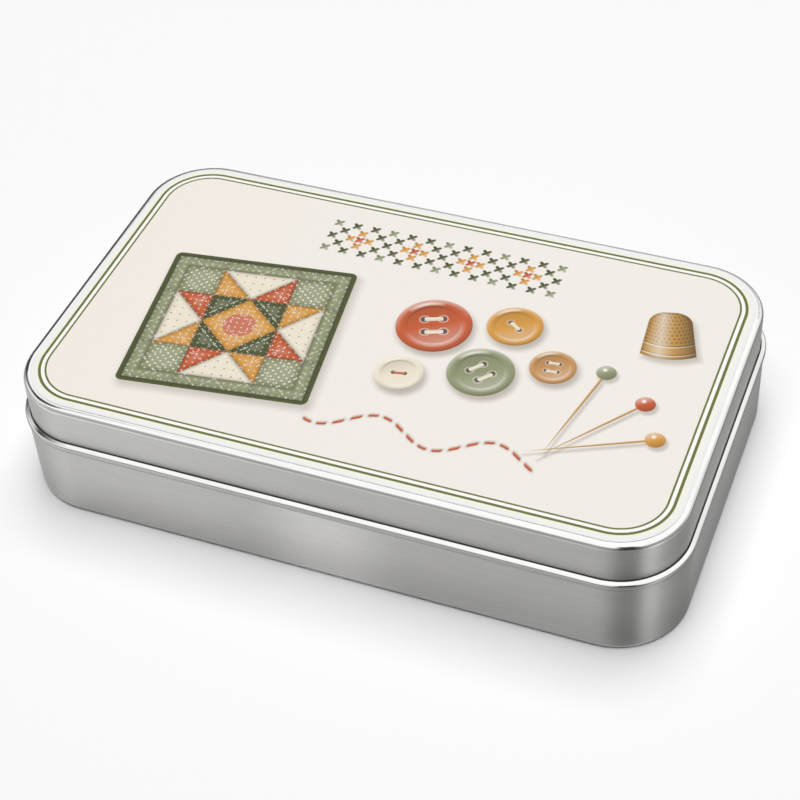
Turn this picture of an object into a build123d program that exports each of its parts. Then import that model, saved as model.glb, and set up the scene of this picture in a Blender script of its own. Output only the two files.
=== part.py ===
from build123d import *
import math
import os

# A rectangular slip-lid tin in millimetres: a drawn base, a drawn lid and the label film on the lid.
# The origin is the centre of the foot. +X runs along the tin, +Y across it and +Z up.

# Sheet
sheet = 0.3  # tinplate of the base and the lid
label_thickness = 0.1

# Base
base_length = 159.8  # over the wall
base_width = 95.8
base_corner_radius = 17.1
foot_radius = 1.2  # outside of the bend from the floor to the wall
floor_panel_inset = 7.0  # from the wall to the foot of the raised panel's slope
floor_panel_rise = 0.6
floor_panel_slope = 45.0
bead_thickness = 1.2  # the wall folded out on itself and pinched shut
bead_height = 1.95
bead_slope = 25.0  # of its top, falling away from the lid
bead_bend_radius = 0.6  # outside of the folds, along its outer edges
bead_crease_radius = 0.15  # outside of the tighter fold along its crest
bead_overhang = 0.4  # how far the bead stands out past the wall
bead_top = 21.8  # above the foot, before the crest is rounded
ledge_bend_radius = 0.5  # outside of the bend from the ledge to the neck
rim_roll_diameter = 1.4  # the neck's edge, rolled inwards

# Lid and label
tin_height = 32.0  # foot to the face of the label
shoulder_radius = 1.3
hem_height = 2.0  # the skirt's edge, folded inwards and up
label_margin = 0.4  # bare metal between the shoulder and the label

# Clearances
bead_gap = 0.2  # between the bead and the lid's skirt, all round
neck_clearance = 0.3  # between the neck and the hem, all round
hem_clearance = 0.1  # under the hem, above the ledge
rim_clearance = 0.3  # over the rim, under the lid

# Heights above the foot
bead_bottom = bead_top - bead_height
bead_shoulder = bead_top - bead_thickness * math.tan(math.radians(bead_slope))
bead_middle = (bead_top + bead_bottom) / 2
ledge_top = bead_bottom + sheet
hem_edge = ledge_top + hem_clearance
lid_top = tin_height - label_thickness
lid_ceiling = lid_top - sheet
rim_top = lid_ceiling - rim_clearance

# Insets from the outside of the base's wall
bead_inside = bead_thickness - bead_overhang
skirt_outside = bead_inside + bead_gap
skirt_inside = skirt_outside + sheet
hem_inside = skirt_inside + sheet
neck_outside = hem_inside + neck_clearance
label_edge = skirt_outside + shoulder_radius + label_margin
floor_seam = 2 * foot_radius


def outline(inset):
    """Length, width and corner radius of the tin's outline, drawn in from the wall by inset."""
    return base_length - 2 * inset, base_width - 2 * inset, base_corner_radius - inset


# Base: one section of the drawn sheet, swept round half the tin and mirrored, then the floor.
# In the section, the first coordinate is the inset from the wall and the second the height.
wall_line = sheet / 2
neck_line = neck_outside + sheet / 2
ledge_line = ledge_top - sheet / 2
rim_roll_middle = rim_top - rim_roll_diameter / 2

with BuildPart() as base:
    with BuildLine() as half_course:
        FilletPolyline(
            (0, -base_width / 2),
            (base_length / 2, -base_width / 2),
            (base_length / 2, base_width / 2),
            (0, base_width / 2),
            radius=base_corner_radius,
        )
    with BuildSketch(Plane((0, -base_width / 2, 0), x_dir=(0, 1, 0), z_dir=(1, 0, 0))):
        with BuildLine():
            FilletPolyline(
                (floor_seam, sheet / 2),
                (wall_line, sheet / 2),
                (wall_line, bead_middle),
                radius=foot_radius - sheet / 2,
            )
        trace(line_width=sheet)
        with BuildLine():
            FilletPolyline(
                (wall_line, ledge_line),
                (neck_line, ledge_line),
                (neck_line, rim_roll_middle),
                radius=ledge_bend_radius - sheet / 2,
            )
        trace(line_width=sheet)
        with BuildLine():
            FilletPolyline(
                (bead_inside, bead_bottom),
                (bead_inside, bead_top),
                (-bead_overhang, bead_shoulder),
                (-bead_overhang, bead_bottom),
                radius=(0, bead_crease_radius, bead_bend_radius, bead_bend_radius),
                close=True,
            )
        make_face()
        with Locations((neck_outside + rim_roll_diameter / 2, rim_roll_middle)):
            Circle(rim_roll_diameter / 2)
    sweep(path=half_course.wires()[0])
    mirror(about=Plane.YZ)
    with BuildSketch():
        RectangleRounded(*outline(floor_seam))
    extrude(amount=sheet)
    # The floor is pressed up into a shallow panel whose slope is as thick as the rest of the sheet.
    slope_lead = sheet * math.tan(math.radians(floor_panel_slope) / 2)
    with BuildSketch(Plane.XY.offset(sheet)):
        RectangleRounded(*outline(floor_panel_inset - slope_lead))
    extrude(amount=floor_panel_rise, taper=floor_panel_slope)
    with BuildSketch():
        RectangleRounded(*outline(floor_panel_inset))
    extrude(amount=floor_panel_rise, taper=floor_panel_slope, mode=Mode.SUBTRACT)

# Lid: a shallow drawn cap with a rounded shoulder and a folded hem
with BuildPart() as lid_shell:
    with BuildSketch(Plane.XY.offset(hem_edge)):
        RectangleRounded(*outline(skirt_outside))
    extrude(amount=lid_top - hem_edge)
    fillet(lid_shell.faces().sort_by(Axis.Z)[-1].edges(), shoulder_radius)
    offset(amount=-sheet, openings=lid_shell.faces().sort_by(Axis.Z)[0])
    with BuildSketch(Plane.XY.offset(hem_edge)):
        RectangleRounded(*outline(skirt_inside))
        RectangleRounded(*outline(hem_inside), mode=Mode.SUBTRACT)
    extrude(amount=hem_height)
    fillet(lid_shell.faces().sort_by(Axis.Z)[0].edges(), sheet / 2)

# Label: a printed film on the flat of the lid
with BuildPart() as lid_label:
    with BuildSketch(Plane.XY.offset(lid_top)):
        RectangleRounded(*outline(label_edge))
    extrude(amount=label_thickness)

base.part.label = "base"
lid_shell.part.label = "lid_shell"
lid_label.part.label = "lid_label"

os.makedirs("parts", exist_ok=True)
export_step(base.part, "parts/base.step")
export_step(lid_shell.part, "parts/lid_shell.step")
export_step(lid_label.part, "parts/lid_label.step")
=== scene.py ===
import math

import bpy
from mathutils import Matrix, Vector


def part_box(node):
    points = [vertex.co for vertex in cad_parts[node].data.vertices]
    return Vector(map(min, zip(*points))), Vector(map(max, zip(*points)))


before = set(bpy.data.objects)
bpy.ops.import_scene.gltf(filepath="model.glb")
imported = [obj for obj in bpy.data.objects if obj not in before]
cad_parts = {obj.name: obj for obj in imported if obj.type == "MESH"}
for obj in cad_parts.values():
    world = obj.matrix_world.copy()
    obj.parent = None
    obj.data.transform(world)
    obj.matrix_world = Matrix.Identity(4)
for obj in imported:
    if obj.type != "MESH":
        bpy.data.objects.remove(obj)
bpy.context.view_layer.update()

# Everything here is in metres, in the frame of the tin: origin at the centre of the foot, +Z up.
# The drawing on the label is worked out in millimetres.
MM = 0.001


# ---------------------------------------------------------------- camera
CAMERA_AZIMUTH = math.radians(23.76)
CAMERA_ELEVATION = math.radians(44.21)
CAMERA_ROLL = math.radians(-3.90)
CAMERA_DISTANCE = 0.46167
CAMERA_TARGET = Vector((-2.01, 5.13, 5.66)) * MM
SENSOR_WIDTH = 36.0
LENS = 85.44


def make_camera():
    """The camera looks at the tin from the front right, with a slight roll."""
    cos_az, sin_az = math.cos(CAMERA_AZIMUTH), math.sin(CAMERA_AZIMUTH)
    cos_el, sin_el = math.cos(CAMERA_ELEVATION), math.sin(CAMERA_ELEVATION)
    back = Vector((sin_az * cos_el, -cos_az * cos_el, sin_el))
    right = Vector((cos_az, sin_az, 0))
    turned = Matrix((right, back.cross(right), back)).transposed() @ Matrix.Rotation(CAMERA_ROLL, 3, "Z")
    data = bpy.data.cameras.new("camera")
    data.sensor_width = SENSOR_WIDTH
    data.lens = LENS
    camera = bpy.data.objects.new("camera", data)
    camera.matrix_world = Matrix.Translation(CAMERA_TARGET + back * CAMERA_DISTANCE) @ turned.to_4x4()
    bpy.context.scene.collection.objects.link(camera)
    bpy.context.scene.camera = camera


# ---------------------------------------------------------------- numbers that vary over a surface
class Field:
    """A number that varies over a surface, with the arithmetic to work with it."""

    def __init__(self, tree, socket):
        self.tree = tree
        self.socket = socket

    def made(self, operation, *others):
        node = self.tree.nodes.new("ShaderNodeMath")
        node.operation = operation
        for socket, value in zip(node.inputs, (self, *others)):
            feed(self.tree, socket, value)
        return Field(self.tree, node.outputs[0])

    def __add__(self, other):
        return self.made("ADD", other)

    def __sub__(self, other):
        return self.made("SUBTRACT", other)

    def __rsub__(self, other):
        return self.made("MULTIPLY_ADD", -1.0, other)

    def __mul__(self, other):
        return self.made("MULTIPLY", other)

    def __truediv__(self, other):
        return self.made("DIVIDE", other)

    def __mod__(self, other):
        return self.made("FLOORED_MODULO", other)

    def __neg__(self):
        return self * -1.0

    def __abs__(self):
        return self.made("ABSOLUTE")

    def lower(self, other):
        return self.made("MINIMUM", other)

    def higher(self, other):
        return self.made("MAXIMUM", other)

    def clamped(self):
        return self.higher(0.0).lower(1.0)

    def above(self, level):
        return self.made("GREATER_THAN", level)

    def towards(self, other, share):
        """This field at a share of 0, the other at a share of 1."""
        return self + (other - self) * share

    def ramp(self, low, high, start=0.0, end=1.0):
        """The start value up to low and the end value from high, with a smooth change between."""
        node = self.tree.nodes.new("ShaderNodeMapRange")
        node.interpolation_type = "SMOOTHSTEP"
        for name, value in (("From Min", low), ("From Max", high), ("To Min", start), ("To Max", end)):
            node.inputs[name].default_value = value
        feed(self.tree, node.inputs["Value"], self)
        return Field(self.tree, node.outputs[0])


def feed(tree, socket, value):
    """Set a socket to a constant, or link it to a field or an output."""
    if isinstance(value, Field):
        value = value.socket
    if isinstance(value, bpy.types.NodeSocket):
        tree.links.new(value, socket)
    else:
        socket.default_value = value


def new_material(name):
    """A material with an empty node tree, its tree and its output node."""
    material = bpy.data.materials.new(name)
    material.use_nodes = True
    tree = material.node_tree
    tree.nodes.clear()
    return material, tree, tree.nodes.new("ShaderNodeOutputMaterial")


def components(tree, output):
    """The x, y and z of a vector output."""
    parts = tree.nodes.new("ShaderNodeSeparateXYZ")
    tree.links.new(output, parts.inputs[0])
    return [Field(tree, part) for part in parts.outputs]


def position(tree):
    return components(tree, tree.nodes.new("ShaderNodeTexCoord").outputs["Object"])


def mix_shaders(tree, share, first, second):
    node = tree.nodes.new("ShaderNodeMixShader")
    for socket, value in zip(node.inputs, (share, first, second)):
        feed(tree, socket, value)
    return node.outputs[0]


def mix_colours(tree, share, first, second):
    node = tree.nodes.new("ShaderNodeMix")
    node.data_type = "RGBA"
    for name, value in (("Factor", share), ("A", first), ("B", second)):
        feed(tree, node.inputs[name], value)
    return node.outputs["Result"]


def length(x, y):
    return (x * x + y * y).made("SQRT")


def rounded_box(x, y, half, corner):
    """Distance outside a rectangle with round corners, negative inside it."""
    dx, dy = abs(x) - (half[0] - corner), abs(y) - (half[1] - corner)
    return length(dx.higher(0.0), dy.higher(0.0)) + dx.higher(dy).lower(0.0) - corner


# ---------------------------------------------------------------- stage and light
DOME_LEVEL = 0.04
FLOOR_RADIUS = 1.5
FLOOR_COLOUR = 0.995
FLOOR_LIFT = 0.15  # share of the floor's look that is plain white, away from the tin
FLOOR_LIFTING = (-2.0 * MM, 2.0 * MM)  # distances from the bead where this begins and is full; nearer, the floor is left darker as a painted contact shadow
FLOOR_FADING = (0.4, 1.3)  # distances from the centre over which the floor fades to plain white
FLOOR_CLEARNESS = 0.85  # how much the metal sees the tent through the floor
FLOOR_CLEARING = (1.0 * MM, 8.0 * MM)  # distances from the tin where this begins and is full
FLOOR_END_CLEARING = 8.0 * MM  # the floor is clear right up to the tin's ends
OUTLINE_CORNER = 17.5 * MM  # of the bead, seen from above
LAMP_PLACE = (0.0, 0.2, 3.0)
LAMP_SIZE = (1.9, 3.2)
LAMP_LEVEL = 5.35  # brightness of the lamp as seen from below

# A round tent stands about the tin, and only the metal sees it. Its wall is hung with cloths in three
# bands, which blend into each other by the tangent of the elevation. A band runs from the back by -X,
# the front and +X to the back again. It gives the brightness of its first cloth and then, for each
# further cloth, the seam where it begins, half the width of the blend there, and its brightness.
# Seams are azimuths in degrees from the front.
TENT_RADIUS = 1.3
TENT_BOTTOM = -2.9
TENT_TOP = 2.25
TENT_STEPS = 96
ROOF_LEVEL = 1.25
FLAG_LEVEL = 0.05  # of the black cloths, which put the dark lines in the metal
LOW_BAND = (
    0.42, (-155, 25, 0.63), (-71, 14, 0.96), (-25, 9, 0.58), (10, 20, 0.16), (56, 14, 0.90),
    (77, 12, 0.44), (101, 17, 0.24), (160, 20, 0.42),
)
MIDDLE_BAND = (
    0.60, (-152, 12, FLAG_LEVEL), (-104, 12, 1.02), (-57, 9, 0.52), (-6, 30, 0.35), (17, 7, FLAG_LEVEL),
    (49, 10, 0.44), (125, 25, 1.11), (168, 12, 0.60),
)
TOP_BAND = (
    ROOF_LEVEL, (-126, 10, FLAG_LEVEL), (-76, 13, ROOF_LEVEL), (19, 5, FLAG_LEVEL), (47, 6, ROOF_LEVEL),
)
LOW_TO_MIDDLE = (0.0, 0.14)
MIDDLE_TO_TOP = (0.62, 0.84)
HORIZON = -0.06  # middle of a darker line round the tent, how far it reaches and how deep it is
HORIZON_REACH = 0.3
HORIZON_DEPTH = 0.5


def make_world():
    """White where it is seen, and a faint dome of light elsewhere."""
    world = bpy.data.worlds.new("studio")
    bpy.context.scene.world = world
    world.use_nodes = True
    tree = world.node_tree
    tree.nodes.clear()
    white = tree.nodes.new("ShaderNodeBackground")
    white.inputs["Color"].default_value = (1, 1, 1, 1)
    dome = tree.nodes.new("ShaderNodeBackground")
    dome.inputs["Strength"].default_value = DOME_LEVEL
    look = mix_shaders(tree, seen(tree), dome.outputs[0], white.outputs[0])
    tree.links.new(look, tree.nodes.new("ShaderNodeOutputWorld").inputs[0])


def seen(tree):
    """1 on rays from the camera and on rays that metal or glass sends on."""
    path = tree.nodes.new("ShaderNodeLightPath")
    camera, glossy, through = (
        Field(tree, path.outputs[name]) for name in ("Is Camera Ray", "Is Glossy Ray", "Is Transmission Ray")
    )
    return camera.higher(glossy).higher(through)


def mesh_object(name, vertices, faces):
    mesh = bpy.data.meshes.new(name)
    mesh.from_pydata(vertices, [], faces)
    obj = bpy.data.objects.new(name, mesh)
    bpy.context.scene.collection.objects.link(obj)
    return obj


def circle(radius, height):
    angles = [2 * math.pi * i / TENT_STEPS for i in range(TENT_STEPS)]
    return [(radius * math.cos(a), radius * math.sin(a), height) for a in angles]


def floor_material():
    """Pale floor: white where it is open, with the tin's shadow and a painted contact shadow by its foot, and
    half clear to the metal.
    """
    material, tree, output = new_material("floor_white")
    matt = tree.nodes.new("ShaderNodeBsdfDiffuse")
    matt.inputs["Color"].default_value = (FLOOR_COLOUR, FLOOR_COLOUR, FLOOR_COLOUR, 1)
    white = tree.nodes.new("ShaderNodeEmission")
    clear = tree.nodes.new("ShaderNodeBsdfTransparent")
    x, y, _ = position(tree)
    _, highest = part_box("base")
    # less white near the bead: a painted contact shadow
    lift = rounded_box(x, y, highest, OUTLINE_CORNER).ramp(*FLOOR_LIFTING) * FLOOR_LIFT
    lift = lift.towards(1.0, length(x, y).ramp(*FLOOR_FADING))
    lifted = mix_shaders(tree, seen(tree) * lift, matt.outputs[0], white.outputs[0])
    away = rounded_box(x, y, (highest[0] - FLOOR_END_CLEARING, highest[1]), OUTLINE_CORNER)
    glossy = Field(tree, tree.nodes.new("ShaderNodeLightPath").outputs["Is Glossy Ray"])
    through = glossy * away.ramp(*FLOOR_CLEARING) * FLOOR_CLEARNESS
    tree.links.new(mix_shaders(tree, through, lifted, clear.outputs[0]), output.inputs[0])
    return material


def make_floor():
    floor = mesh_object("floor", circle(FLOOR_RADIUS, 0), [range(TENT_STEPS)])
    floor.data.materials.append(floor_material())


def make_lamp():
    """One large soft lamp overhead. It is given by its brightness, seen from below."""
    data = bpy.data.lights.new("overhead", "AREA")
    data.shape = "RECTANGLE"
    data.size, data.size_y = LAMP_SIZE
    data.energy = LAMP_LEVEL * math.pi * LAMP_SIZE[0] * LAMP_SIZE[1]
    lamp = bpy.data.objects.new("overhead", data)
    lamp.location = LAMP_PLACE
    lamp.visible_glossy = False
    bpy.context.scene.collection.objects.link(lamp)


def band_level(azimuth, level, *cloths):
    """Brightness of one band of the tent's wall, from the level of its first cloth and the rest."""
    for seam, blend, brightness in cloths:
        level = azimuth.ramp(seam - blend, seam + blend) * (brightness - level) + level
    return level


def tent_level(tree):
    """Brightness of the tent's wall."""
    x, y, z = position(tree)
    azimuth = x.made("ARCTAN2", -y) * math.degrees(1.0)
    low, middle, top = (band_level(azimuth, *band) for band in (LOW_BAND, MIDDLE_BAND, TOP_BAND))
    height = z / TENT_RADIUS
    level = low.towards(middle, height.ramp(*LOW_TO_MIDDLE)).towards(top, height.ramp(*MIDDLE_TO_TOP))
    return level * abs(height - HORIZON).ramp(0.0, HORIZON_REACH, 1.0 - HORIZON_DEPTH, 1.0)


def make_tent():
    """The tent: a wall that glows by azimuth and height, and a plain glowing roof."""
    rims = circle(TENT_RADIUS, TENT_BOTTOM) + circle(TENT_RADIUS, TENT_TOP)
    following = [(i + 1) % TENT_STEPS for i in range(TENT_STEPS)]
    wall = [(i, j, j + TENT_STEPS, i + TENT_STEPS) for i, j in enumerate(following)]
    for name, vertices, faces in (
        ("tent_wall", rims, wall),
        ("tent_roof", circle(TENT_RADIUS, TENT_TOP), [range(TENT_STEPS)]),
    ):
        piece = mesh_object(name, vertices, faces)
        material, tree, output = new_material(name)
        glow = tree.nodes.new("ShaderNodeEmission")
        feed(tree, glow.inputs["Strength"], tent_level(tree) if name == "tent_wall" else ROOF_LEVEL)
        tree.links.new(glow.outputs[0], output.inputs[0])
        piece.data.materials.append(material)
        piece.visible_camera = False
        piece.visible_diffuse = False
        piece.visible_transmission = False
        piece.visible_shadow = False


# ---------------------------------------------------------------- metal
STREAKS_ALONG = 90.0  # streaks to a metre along the brushing, and across it
STREAKS_ACROSS = 2400.0
BRUSHED = (0.58, 0.575, 0.565)
# colour where a face leans up: polish, with a painted highlight
POLISH_AND_HIGHLIGHT = (0.76, 0.755, 0.745)
STREAK_DETAIL = 2.0
STREAK_DEPTH = 0.12
PATCHES = 22.0  # slow changes of tone, to a metre
PATCH_DETAIL = 0.0
PATCH_DEPTH = 0.06
BEND_TILT = (0.02, 0.15)  # how far a face leans from upright where polish, and on faces leaning up a brighter painted highlight, begins and is full
BRUSHED_ROUGHNESS = 0.32
POLISHED_ROUGHNESS = 0.11
STREAK_ROUGHNESS = 0.06
ANISOTROPY = 0.85
BRUSHING_TURN = 0.25  # of a full turn, so that the brushing runs round the tin
# Painted shade: the base's colour is darkened in the groove between its bead and the lid's skirt.
GROOVE_WALL = (-1.25 * MM, -1.0 * MM)  # inwards from the bead's outside, where the painted shade of its groove begins
GROOVE_TOP = (21.8 * MM, 22.6 * MM)
GROOVE_SHADE = 0.3
SKIRT_EDGE = (21.5 * MM, 22.0 * MM)  # heights between which the painted shade along the skirt's lower edge ends
SKIRT_EDGE_SHADE = 0.6
# Painted light: the lid's skirt is a little brighter than the base.
SKIRT_TONE = 1.05
SKIRT_END = (30.3 * MM, 30.9 * MM)  # heights over which the skirt turns into the shoulder
BEAD_SIDE = (20.5 * MM, 0.6 * MM, 1.0 * MM)  # a band of painted shade on the bead's side: middle height, half height, half height with its blend
BEAD_SIDE_SHADE = 0.85
CREASE = (19.7 * MM, 0.1 * MM, 0.35 * MM)  # painted shade in the crease under the bead, given like the bead's side
CREASE_SHADE = 0.7
# Painted shade: the base's colour darkens towards its foot, between these heights.
FOOT_SHADE_HEIGHTS = (2.0 * MM, 16.0 * MM)
FOOT_SHADE = 0.83
# A painted highlight: the colour of the base's long walls is brightened in a patch.
WALL_HIGHLIGHT_PLACE = 1.0 * MM  # middle of a painted highlight, along the long walls
WALL_HIGHLIGHT_REACH = (2.0 * MM, 20.0 * MM)
WALL_HIGHLIGHT_FROM = 47.0 * MM  # only the outside of the long walls lies this far across
WALL_HIGHLIGHT_TOP = (19.0 * MM, 20.0 * MM)
WALL_HIGHLIGHT_TONE = 1.32


def noise(tree, x, y, z, detail):
    """Random numbers about 0.5 that change once or so to each unit of x, y and z."""
    place = tree.nodes.new("ShaderNodeCombineXYZ")
    for socket, value in zip(place.inputs, (x, y, z)):
        feed(tree, socket, value)
    node = tree.nodes.new("ShaderNodeTexNoise")
    node.inputs["Scale"].default_value = 1.0
    node.inputs["Detail"].default_value = detail
    tree.links.new(place.outputs[0], node.inputs["Vector"])
    return Field(tree, node.outputs["Fac"])


def base_tone(x, y, z):
    """Painted shade in the groove, on the bead's side, in the crease and towards the foot; a painted
    highlight on the long walls.
    """
    _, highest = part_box("base")
    away = rounded_box(x, y, highest, OUTLINE_CORNER)
    # painted shade in the groove
    groove = away.ramp(*GROOVE_WALL, 1.0, 0.0) * z.ramp(*GROOVE_TOP, 1.0, 0.0)
    tone = groove * (GROOVE_SHADE - 1.0) + 1.0
    # painted shade on the bead's side and in the crease under it
    for (middle, inner, outer), shade in ((BEAD_SIDE, BEAD_SIDE_SHADE), (CREASE, CREASE_SHADE)):
        tone = tone * abs(z - middle).ramp(inner, outer, shade, 1.0)
    # painted highlight on the long walls
    wall_highlight = abs(x - WALL_HIGHLIGHT_PLACE).ramp(*WALL_HIGHLIGHT_REACH, 1.0, 0.0) * z.ramp(*WALL_HIGHLIGHT_TOP, 1.0, 0.0)
    wall_highlight = wall_highlight * abs(y).above(WALL_HIGHLIGHT_FROM)
    return tone * z.ramp(*FOOT_SHADE_HEIGHTS, FOOT_SHADE, 1.0) * (wall_highlight * (WALL_HIGHLIGHT_TONE - 1.0) + 1.0)


def lid_tone(x, y, z):
    """Painted light on the lid: its skirt a little brighter than the base, with painted shade along its lower
    edge.
    """
    return z.ramp(*SKIRT_EDGE, SKIRT_EDGE_SHADE, 1.0) * z.ramp(*SKIRT_END, SKIRT_TONE, 1.0)


def brushed_steel(name, own_tone):
    """Tinplate brushed along its walls and smooth on its bends; where it faces up its colour is brighter:
    polish with a painted highlight.
    """
    material, tree, output = new_material(name)
    steel = tree.nodes.new("ShaderNodeBsdfPrincipled")
    steel.inputs["Metallic"].default_value = 1.0
    steel.inputs["Anisotropic"].default_value = ANISOTROPY
    steel.inputs["Anisotropic Rotation"].default_value = BRUSHING_TURN
    tangent = tree.nodes.new("ShaderNodeTangent")
    tangent.direction_type = "RADIAL"
    tangent.axis = "Z"
    tree.links.new(tangent.outputs[0], steel.inputs["Tangent"])
    x, y, z = position(tree)
    tilt = components(tree, tree.nodes.new("ShaderNodeTexCoord").outputs["Normal"])[2]
    # Where a face leans up its colour turns brighter: polish with a painted highlight.
    polish_and_highlight = tilt.ramp(*BEND_TILT)
    streaks = noise(tree, x * STREAKS_ALONG, y * STREAKS_ALONG, z * STREAKS_ACROSS, STREAK_DETAIL) - 0.5
    patches = noise(tree, x * PATCHES, y * PATCHES, z * PATCHES, PATCH_DETAIL) - 0.5
    tone = (streaks * (2 * STREAK_DEPTH) + patches * (2 * PATCH_DEPTH) + 1.0) * own_tone(x, y, z)
    shade = tree.nodes.new("ShaderNodeVectorMath")
    shade.operation = "SCALE"
    tree.links.new(mix_colours(tree, polish_and_highlight, (*BRUSHED, 1), (*POLISH_AND_HIGHLIGHT, 1)), shade.inputs[0])
    feed(tree, shade.inputs["Scale"], tone)
    tree.links.new(shade.outputs[0], steel.inputs["Base Color"])
    rough = abs(tilt).ramp(*BEND_TILT, BRUSHED_ROUGHNESS, POLISHED_ROUGHNESS)
    rough = rough + streaks * (2 * STREAK_ROUGHNESS)
    feed(tree, steel.inputs["Roughness"], rough)
    tree.links.new(steel.outputs[0], output.inputs[0])
    return material


# ---------------------------------------------------------------- label: colours and drawing
# Colours are 8-bit sRGB.
CREAM = (244, 239, 232)
WARM_CREAM = (246, 238, 228)
IVORY = (247, 245, 233)
EDGE_WHITE = (243, 243, 244)
PALE = (254, 253, 250)
BORDER_GREEN = (108, 114, 58)
OLIVE = (80, 88, 54)
SAGE = (146, 152, 118)
PALE_SAGE = (190, 195, 170)
TERRACOTTA = (196, 96, 60)
OCHRE = (214, 156, 74)
CLOTH = (237, 228, 208)
WOOD = (198, 148, 94)
BRASS = (196, 152, 84)
LIGHT_TONE = (255, 250, 240)
DARK_TONE = (60, 46, 36)
SHADOW_TONE = (150, 138, 122)

EDGE = 0.06  # softness of a printed edge
LIGHT = (-0.55, 0.83)  # the drawn light comes from the back left
SHADOW_INSIDE = 0.6  # how far a drawn shadow fades inside its outline, as a share of its reach


def linear(colour):
    """A colour given as 8-bit sRGB, as linear RGBA."""
    parts = [c / 255 for c in colour]
    return (*(p / 12.92 if p <= 0.04045 else ((p + 0.055) / 1.055) ** 2.4 for p in parts), 1)


def moved(x, y, centre, turn=0.0):
    """Coordinates about a centre, turned by an angle in degrees."""
    cos, sin = math.cos(math.radians(turn)), math.sin(math.radians(turn))
    dx, dy = x - centre[0], y - centre[1]
    return dx * cos + dy * sin, dy * cos - dx * sin


def filled(distance, soft=EDGE):
    return 1.0 - distance.ramp(-soft, soft)


def line(distance, width):
    return filled(abs(distance) - width / 2)


def dots(x, y, spacing, radius):
    return filled(length(x % spacing - spacing / 2, y % spacing - spacing / 2) - radius)


class Print:
    """The printed colour, painted layer by layer."""

    def __init__(self, tree, colour):
        self.tree = tree
        self.colour = linear(colour)

    def paint(self, colour, mask):
        self.colour = mix_colours(self.tree, mask, self.colour, linear(colour))

    def model(self, light, mask, strength):
        """Lighten where the light is above 0 and darken where it is below."""
        self.paint(LIGHT_TONE, light.clamped() * mask * strength)
        self.paint(DARK_TONE, (-light).clamped() * mask * strength)

    def shadow(self, distance, depth, reach):
        self.paint(SHADOW_TONE, (1.0 - distance.ramp(-reach * SHADOW_INSIDE, reach)) * depth)


# ---------------------------------------------------------------- label: border
BORDER_HALF = (75.0, 43.0)  # middle of the thick line
BORDER_CORNER = 12.2
THICK_LINE = 0.68
THIN_LINE = 0.46
LINE_GAP = 1.4
EDGE_FADE = (0.6, 2.0)  # outside the thick line


def draw_border(ink, x, y):
    """The double green line, with pale paper between its lines."""
    outer = rounded_box(x, y, BORDER_HALF, BORDER_CORNER)
    ink.paint(IVORY, outer.ramp(-EDGE, EDGE))
    ink.paint(EDGE_WHITE, outer.ramp(*EDGE_FADE))
    ink.paint(PALE, line(outer + LINE_GAP / 2, LINE_GAP))
    ink.paint(BORDER_GREEN, line(outer, THICK_LINE))
    ink.paint(BORDER_GREEN, line(outer + LINE_GAP, THIN_LINE))


# ---------------------------------------------------------------- label: cross-stitch band
BAND_CENTRE = (1.0, 29.5)
BAND_CELL = 2.4
BAND_COLUMNS = 25
BAND_ROWS = 5
BAND_REPEAT = 6
BAND_RINGS = ((0, TERRACOTTA), (1, OCHRE), (3, OLIVE), (5, SAGE))
CROSS_ARM = 0.25  # half thickness, as a share of the cell
CROSS_REACH = 0.44
CROSS_RELIEF = 1.5
CROSS_SHADING = 0.35


def draw_cross_stitch_band(ink, x, y):
    """A band of cross stitches: olive diamonds with a small flower in each."""
    x, y = moved(x, y, BAND_CENTRE)
    across, up = x / BAND_CELL + BAND_COLUMNS / 2, y / BAND_CELL + BAND_ROWS / 2
    column, row = across.made("FLOOR"), up.made("FLOOR")
    s, t = across - column - 0.5, up - row - 0.5
    within = (1.0 - abs(across - BAND_COLUMNS / 2).above(BAND_COLUMNS / 2))
    within = within * (1.0 - abs(up - BAND_ROWS / 2).above(BAND_ROWS / 2))
    arm = abs(s + t).lower(abs(s - t))
    cross = filled(arm - CROSS_ARM, EDGE) * filled(abs(s).higher(abs(t)) - CROSS_REACH, EDGE) * within
    ring = abs(column % BAND_REPEAT - BAND_REPEAT / 2) + abs(row - BAND_ROWS // 2)
    for number, colour in BAND_RINGS:
        stitch = cross * (1.0 - abs(ring - float(number)).above(0.5))
        ink.paint(colour, stitch)
        ink.model((s - t) * CROSS_RELIEF, stitch, CROSS_SHADING)


# ---------------------------------------------------------------- label: quilt block
STAR_CENTRE = (-36.0, -8.0)
STAR_TURN = 7.0
STAR_CELL = 9.2
STAR_BORDER = 3.2
STAR_BINDING = 1.3
STAR_CORNER = 1.6
STAR_MIDDLE = 3.9
SEAM = 0.7  # width of the dark hollow along a seam
PUFF = 2.2  # how far the padding rises from a seam
PUFF_RELIEF = (-0.6, 0.4)  # light at a seam and on top of the padding
PUFF_SHADING = 0.24
SEAM_SHADING = 0.4
QUILTING_PITCH = 7.36
QUILTING_STITCH = 2.0
QUILTING_HALF = (0.55, 0.15)  # half length and half width of a stitch
QUILTING_SHADE = 0.6
STAR_SHADOW = (1.0, -1.4)
STAR_SHADOW_DEPTH = 0.45
STAR_SHADOW_REACH = 2.2

# Spacing and radius of the dots on each cloth
BORDER_DOTS = (1.7, 0.32)
FIELD_DOTS = (2.3, 0.22)
CORNER_DOTS = (1.9, 0.36)
POINT_DOTS = (1.5, 0.2)
CENTRE_DOTS = (1.4, 0.2)


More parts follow.
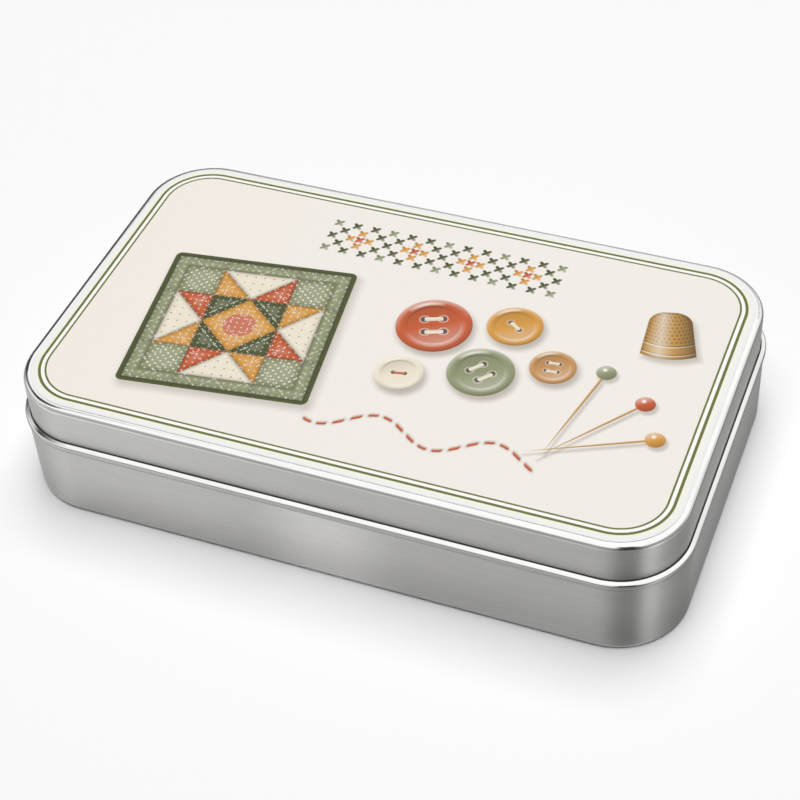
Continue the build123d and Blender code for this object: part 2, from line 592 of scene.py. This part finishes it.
def draw_star_block(ink, x, y):
    """A quilt block: an eight-pointed patchwork star in a bound square."""
    cell = STAR_CELL
    quilt = 2 * cell
    half = quilt + STAR_BORDER + STAR_BINDING
    x, y = moved(x, y, STAR_CENTRE, STAR_TURN)
    shade = rounded_box(*moved(x, y, STAR_SHADOW), (half, half), STAR_CORNER)
    ink.shadow(shade, STAR_SHADOW_DEPTH, STAR_SHADOW_REACH)
    block = rounded_box(x, y, (half, half), STAR_CORNER)
    body, inner = filled(block), filled(block + STAR_BINDING)
    ink.paint(OLIVE, body)
    ink.paint(SAGE, inner)
    ink.paint(PALE_SAGE, inner * dots(x, y, *BORDER_DOTS))
    near, far = abs(x).lower(abs(y)), abs(x).higher(abs(y))
    outside_cell, in_arm = far.above(cell), 1.0 - near.above(cell)
    field = filled(far - quilt)
    ink.paint(CLOTH, field)
    ink.paint(SAGE, field * dots(x, y, *FIELD_DOTS))
    corner = field * near.above(cell)
    ink.paint(SAGE, corner)
    ink.paint(CLOTH, corner * dots(x + y, x - y, *CORNER_DOTS))
    point = field * outside_cell * in_arm * filled(far - cell - near)
    ink.paint(TERRACOTTA, point)
    ink.paint(OCHRE, point * ((abs(x) - abs(y)) * x * y).above(0.0))
    ink.paint(CLOTH, point * dots(x, y, *POINT_DOTS))
    centre = filled(far - cell)
    ink.paint(OLIVE, centre)
    ink.paint(PALE_SAGE, centre * dots(x, y, *CENTRE_DOTS))
    diamond = filled(near + far - cell)
    ink.paint(OCHRE, diamond)
    ink.paint(TERRACOTTA, diamond * filled(length(x, y) - STAR_MIDDLE))
    ink.paint(CLOTH, diamond * dots(x, y, *POINT_DOTS))
    to_diagonal = math.sqrt(0.5)
    seam = abs(far - cell) + (1.0 - in_arm) * cell
    seam = seam.lower(abs(near - cell) + (1.0 - outside_cell) * cell)
    seam = seam.lower(abs(far - cell - near) * to_diagonal + (2.0 - outside_cell - in_arm) * cell)
    seam = seam.lower(abs(near + far - cell) * to_diagonal + outside_cell * cell)
    seam = seam.lower(abs(far - quilt)).lower(abs(block + STAR_BINDING))
    ink.paint(DARK_TONE, body * filled(seam - SEAM / 2, SEAM / 2) * SEAM_SHADING)
    ink.model(seam.ramp(0.0, PUFF, *PUFF_RELIEF), body, PUFF_SHADING)
    for along, over in ((x + y, x - y), (x - y, x + y)):
        dash = filled(abs(along % QUILTING_STITCH - QUILTING_STITCH / 2) - QUILTING_HALF[0])
        dash = dash * filled(abs(over % QUILTING_PITCH - QUILTING_PITCH / 2) - QUILTING_HALF[1])
        ink.paint(PALE, dash * inner * QUILTING_SHADE)


# ---------------------------------------------------------------- label: buttons
BUTTONS = (
    # centre, radius, colour, holes, turn
    ((7.5, 6.0), 9.0, TERRACOTTA, 4, 20.0),
    ((25.5, 11.5), 6.6, OCHRE, 2, -35.0),
    ((23.0, -5.5), 7.8, SAGE, 4, 50.0),
    ((5.5, -11.5), 5.6, CLOTH, 2, 10.0),
    ((38.0, 1.0), 5.4, WOOD, 4, 5.0),
)
BUTTON_SHADOW = (0.9, -1.2)
BUTTON_SHADOW_DEPTH = 0.6
BUTTON_SHADOW_REACH = 1.6

# Shares of a button's radius
RIM_MIDDLE = 0.85
RIM_HALF = 0.15
HOLE_REACH = 0.24  # of each hole from the middle
HOLE_RADIUS = 0.105

RIM_BLEND = (1.3, 0.9)  # in from the rim's middle, in half widths of the rim, where it meets the dish
RIM_SHADING = 0.55
DISH_RELIEF = -0.6
DISH_SHADING = 0.5
GLEAM_FROM = 0.8  # on the rim, where it faces the light by more than this
GLEAM_HALF = 0.35  # as a share of the rim's half width
GLEAM_EDGE = 0.3
GLEAM_STRENGTH = 0.7
HOLE_LIP = 0.4  # as a share of the hole's radius
HOLE_LIP_EDGE = 0.12
HOLE_LIP_STRENGTH = 0.35
HOLE_SHADE = 0.85
THREAD_HALF = 0.67  # as a share of the hole's radius
THREAD_RELIEF = 0.8
THREAD_SHADING = 0.4


def draw_button(ink, x, y, centre, radius, colour, holes, turn):
    """A round button: a raised rim, a dished middle and holes with the thread through them."""
    u, v = moved(x, y, centre)
    ink.shadow(length(*moved(u, v, BUTTON_SHADOW)) - radius, BUTTON_SHADOW_DEPTH, BUTTON_SHADOW_REACH)
    across = length(u, v)
    body = filled(across - radius)
    ink.paint(colour, body)
    facing = (u * LIGHT[0] + v * LIGHT[1]) / across.higher(0.01)
    rim_middle, rim_half = radius * RIM_MIDDLE, radius * RIM_HALF
    on_rim = across.ramp(*(rim_middle - rim_half * share for share in RIM_BLEND))
    slope = ((across - rim_middle) / rim_half).higher(-1.0).lower(1.0)
    ink.model(facing * slope, body * on_rim, RIM_SHADING)
    ink.model(facing * across * (DISH_RELIEF / radius), body * (1.0 - on_rim), DISH_SHADING)
    gleam = (facing - GLEAM_FROM).clamped() / (1.0 - GLEAM_FROM)
    gleam = gleam * filled(abs(across - rim_middle) - rim_half * GLEAM_HALF, GLEAM_EDGE)
    ink.paint(LIGHT_TONE, gleam * GLEAM_STRENGTH)
    p, q = moved(u, v, (0.0, 0.0), turn)
    reach, bore = radius * HOLE_REACH, radius * HOLE_RADIUS
    hole_x, hole_y = abs(p) - reach, (abs(q) - reach) if holes == 4 else q
    hole = length(hole_x, hole_y) - bore
    ink.paint(LIGHT_TONE, filled(hole - bore * HOLE_LIP, HOLE_LIP_EDGE) * HOLE_LIP_STRENGTH)
    ink.paint(DARK_TONE, filled(hole) * HOLE_SHADE)
    thread_half = bore * THREAD_HALF
    thread = filled(abs(hole_y) - thread_half) * filled(abs(p) - reach)
    ink.paint(TERRACOTTA if colour is CLOTH else CLOTH, thread)
    ink.model(hole_y * (THREAD_RELIEF / thread_half), thread, THREAD_SHADING)


# ---------------------------------------------------------------- label: pins
PINS = (
    # head, direction of the point in degrees, colour of the head
    ((61.0, -4.0), 232.0, TERRACOTTA),
    ((66.0, -14.0), 205.0, OCHRE),
    ((50.0, 3.0), 258.0, SAGE),
)
PIN_LENGTH = 29.0
PIN_WIDTH = 0.66
PIN_HEAD = 2.3
PIN_SHADOW = (0.7, -0.9)
PIN_SHADOW_DEPTH = 0.5
PIN_SHADOW_REACH = 0.8
SHAFT_RELIEF = -1.6
SHAFT_SHADING = 0.6
HEAD_RELIEF = 0.9
HEAD_SHADING = 0.5
HEAD_GLEAM = 0.42  # its place towards the light, as a share of the head's radius
HEAD_GLEAM_FADE = (0.08, 0.34)
HEAD_GLEAM_STRENGTH = 0.9


def pin_shaft(x, y, head, direction):
    """Distance outside the shaft of a pin that tapers to its point, and the place across it."""
    u, v = moved(x, y, head, direction)
    used = (u / PIN_LENGTH).clamped()
    taper = (1.0 - used * used) * (PIN_WIDTH / 2)
    return (abs(v) - taper).higher(-u).higher(u - PIN_LENGTH), v


def draw_pin(ink, x, y, head, direction, colour):
    """A ball-headed brass pin lying flat."""
    shade_x, shade_y = moved(x, y, PIN_SHADOW)
    shade, _ = pin_shaft(shade_x, shade_y, head, direction)
    shade = shade.lower(length(*moved(shade_x, shade_y, head)) - PIN_HEAD)
    ink.shadow(shade, PIN_SHADOW_DEPTH, PIN_SHADOW_REACH)
    shaft, over = pin_shaft(x, y, head, direction)
    ink.paint(BRASS, filled(shaft))
    ink.model(over * (SHAFT_RELIEF / PIN_WIDTH), filled(shaft), SHAFT_SHADING)
    u, v = moved(x, y, head)
    ball = filled(length(u, v) - PIN_HEAD)
    ink.paint(colour, ball)
    ink.model((u * LIGHT[0] + v * LIGHT[1]) * (HEAD_RELIEF / PIN_HEAD), ball, HEAD_SHADING)
    gleam = length(*moved(u, v, [part * PIN_HEAD * HEAD_GLEAM for part in LIGHT]))
    fade = [PIN_HEAD * share for share in HEAD_GLEAM_FADE]
    ink.paint(LIGHT_TONE, (1.0 - gleam.ramp(*fade)) * ball * HEAD_GLEAM_STRENGTH)


# ---------------------------------------------------------------- label: thimble
THIMBLE_CENTRE = (60.0, 20.0)
THIMBLE_TURN = 12.0
THIMBLE_HEIGHT = 14.5
THIMBLE_RIM = 6.4  # half width at the rim, and at the crown
THIMBLE_CROWN = 4.6
THIMBLE_ROUND = 3.4
THIMBLE_BULGE = 1.5
THIMBLE_BANDS = (1.5, 4.4)  # heights of the grooves over the rim
DIMPLE_PITCH = 1.25
DIMPLE = 0.36
DIMPLES_FROM = 4.9  # height over the rim
DIMPLE_SHADING = 0.45
THIMBLE_GROOVE = 0.3  # width of a groove
THIMBLE_LIP = 0.35  # width of the bright line under it
THIMBLE_LIP_DROP = 0.4
THIMBLE_BAND_SHADING = 0.55
THIMBLE_SHADOW = (1.0, -1.1)
THIMBLE_SHADOW_DEPTH = 0.5
THIMBLE_SHADOW_REACH = 1.5
THIMBLE_GLEAM = -0.35  # its place across the thimble
THIMBLE_GLEAM_LIGHT = 0.75
THIMBLE_FALL = 1.5  # how fast the light falls to each side
THIMBLE_SHADING = 0.6
THIMBLE_EDGE = 1.2  # width of the darker edge
THIMBLE_EDGE_SHADING = 0.35


def thimble_outline(x, y):
    """Distance outside the thimble, the place across it from -1 to 1 and the height over its rim."""
    u, v = moved(x, y, THIMBLE_CENTRE, THIMBLE_TURN)
    half = (v / THIMBLE_HEIGHT + 0.5) * (THIMBLE_CROWN - THIMBLE_RIM) + THIMBLE_RIM
    across = (u / half).higher(-1.0).lower(1.0)
    height = v + THIMBLE_HEIGHT / 2 + (1.0 - across * across) * THIMBLE_BULGE
    past_side = abs(u) - half + THIMBLE_ROUND
    past_top = v - (THIMBLE_HEIGHT / 2 - THIMBLE_ROUND)
    cap = length(past_side.higher(0.0), past_top.higher(0.0)) + past_side.higher(past_top).lower(0.0)
    return (cap - THIMBLE_ROUND).higher(-height), across, height


def draw_thimble(ink, x, y):
    """A brass thimble: a plain rolled rim and dimples round its wall."""
    shade, _, _ = thimble_outline(*moved(x, y, THIMBLE_SHADOW))
    ink.shadow(shade, THIMBLE_SHADOW_DEPTH, THIMBLE_SHADOW_REACH)
    outside, across, height = thimble_outline(x, y)
    body = filled(outside)
    ink.paint(BRASS, body)
    around = across.made("ARCSINE") * THIMBLE_RIM
    row = (height / DIMPLE_PITCH).made("FLOOR")
    dimples = dots(around + (row % 2.0) * (DIMPLE_PITCH / 2), height, DIMPLE_PITCH, DIMPLE)
    ink.paint(DARK_TONE, dimples * body * height.above(DIMPLES_FROM) * DIMPLE_SHADING)
    for band in THIMBLE_BANDS:
        groove, lip = line(height - band, THIMBLE_GROOVE), line(height - band + THIMBLE_LIP_DROP, THIMBLE_LIP)
        ink.paint(DARK_TONE, body * groove * THIMBLE_BAND_SHADING)
        ink.paint(LIGHT_TONE, body * lip * THIMBLE_BAND_SHADING)
    light = THIMBLE_GLEAM_LIGHT - abs(across - THIMBLE_GLEAM) * THIMBLE_FALL
    ink.model(light, body, THIMBLE_SHADING)
    ink.model(outside.ramp(-THIMBLE_EDGE, 0.0, 0.0, -1.0), body, THIMBLE_EDGE_SHADING)


# ---------------------------------------------------------------- label: running stitch
STITCH_PITCH = 3.4
STITCH_LENGTH = 2.2
STITCH_WIDTH = 0.8
THREAD_ENDS = (-3 * STITCH_PITCH, 13 * STITCH_PITCH)
THREAD_HEIGHT = -29.0
THREAD_WAVE = 3.2
THREAD_TURNS = 2 * math.pi / 27.0
STITCH_SHADOW = (-0.2, 0.7)  # distances from the stitch where its shadow is full and has ended
STITCH_SHADOW_DEPTH = 0.5
STITCH_RELIEF = 1.4
STITCH_SHADING = 0.45


def draw_running_stitch(ink, x, y):
    """A wavy line of running stitch."""
    slope = (x * THREAD_TURNS).made("COSINE") * (THREAD_WAVE * THREAD_TURNS)
    off = y - THREAD_HEIGHT - (x * THREAD_TURNS).made("SINE") * THREAD_WAVE
    off = off / (slope * slope + 1.0).made("SQRT")
    along = abs(x % STITCH_PITCH - STITCH_PITCH / 2) - (STITCH_LENGTH - STITCH_WIDTH) / 2
    stitch = length(along.higher(0.0), off) - STITCH_WIDTH / 2
    within = x.above(THREAD_ENDS[0]) * (1.0 - x.above(THREAD_ENDS[1]))
    ink.paint(SHADOW_TONE, (1.0 - stitch.ramp(*STITCH_SHADOW)) * within * STITCH_SHADOW_DEPTH)
    ink.paint(TERRACOTTA, filled(stitch) * within)
    ink.model(off * (STITCH_RELIEF / STITCH_WIDTH), filled(stitch) * within, STITCH_SHADING)


# ---------------------------------------------------------------- label: the whole print
FILM_ROUGHNESS = 0.45
FILM_GLOSS = 0.2
WARM_FROM = -20.0
WARM_TO = -75.0


def label_print():
    """The printed film: cream with a border and sewing motifs, under a soft gloss."""
    material, tree, output = new_material("label_print")
    x, y = (place / MM for place in position(tree)[:2])
    ink = Print(tree, CREAM)
    ink.paint(WARM_CREAM, 1.0 - x.ramp(WARM_TO, WARM_FROM))
    draw_border(ink, x, y)
    draw_cross_stitch_band(ink, x, y)
    draw_running_stitch(ink, x, y)
    draw_star_block(ink, x, y)
    draw_thimble(ink, x, y)
    for button in BUTTONS:
        draw_button(ink, x, y, *button)
    for pin in PINS:
        draw_pin(ink, x, y, *pin)
    film = tree.nodes.new("ShaderNodeBsdfPrincipled")
    film.inputs["Roughness"].default_value = FILM_ROUGHNESS
    film.inputs["Specular IOR Level"].default_value = FILM_GLOSS
    tree.links.new(ink.colour, film.inputs["Base Color"])
    tree.links.new(film.outputs[0], output.inputs[0])
    return material


# ---------------------------------------------------------------- the tin on its stage
def dress(node, material):
    """Put a material in every slot of a CAD node."""
    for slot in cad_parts[node].material_slots:
        slot.material = material


make_camera()
make_world()
make_floor()
make_lamp()
make_tent()
dress("base", brushed_steel("base_steel", base_tone))
dress("lid_shell", brushed_steel("lid_steel", lid_tone))
dress("lid_label", label_print())

bpy.context.scene.view_settings.view_transform = "Standard"
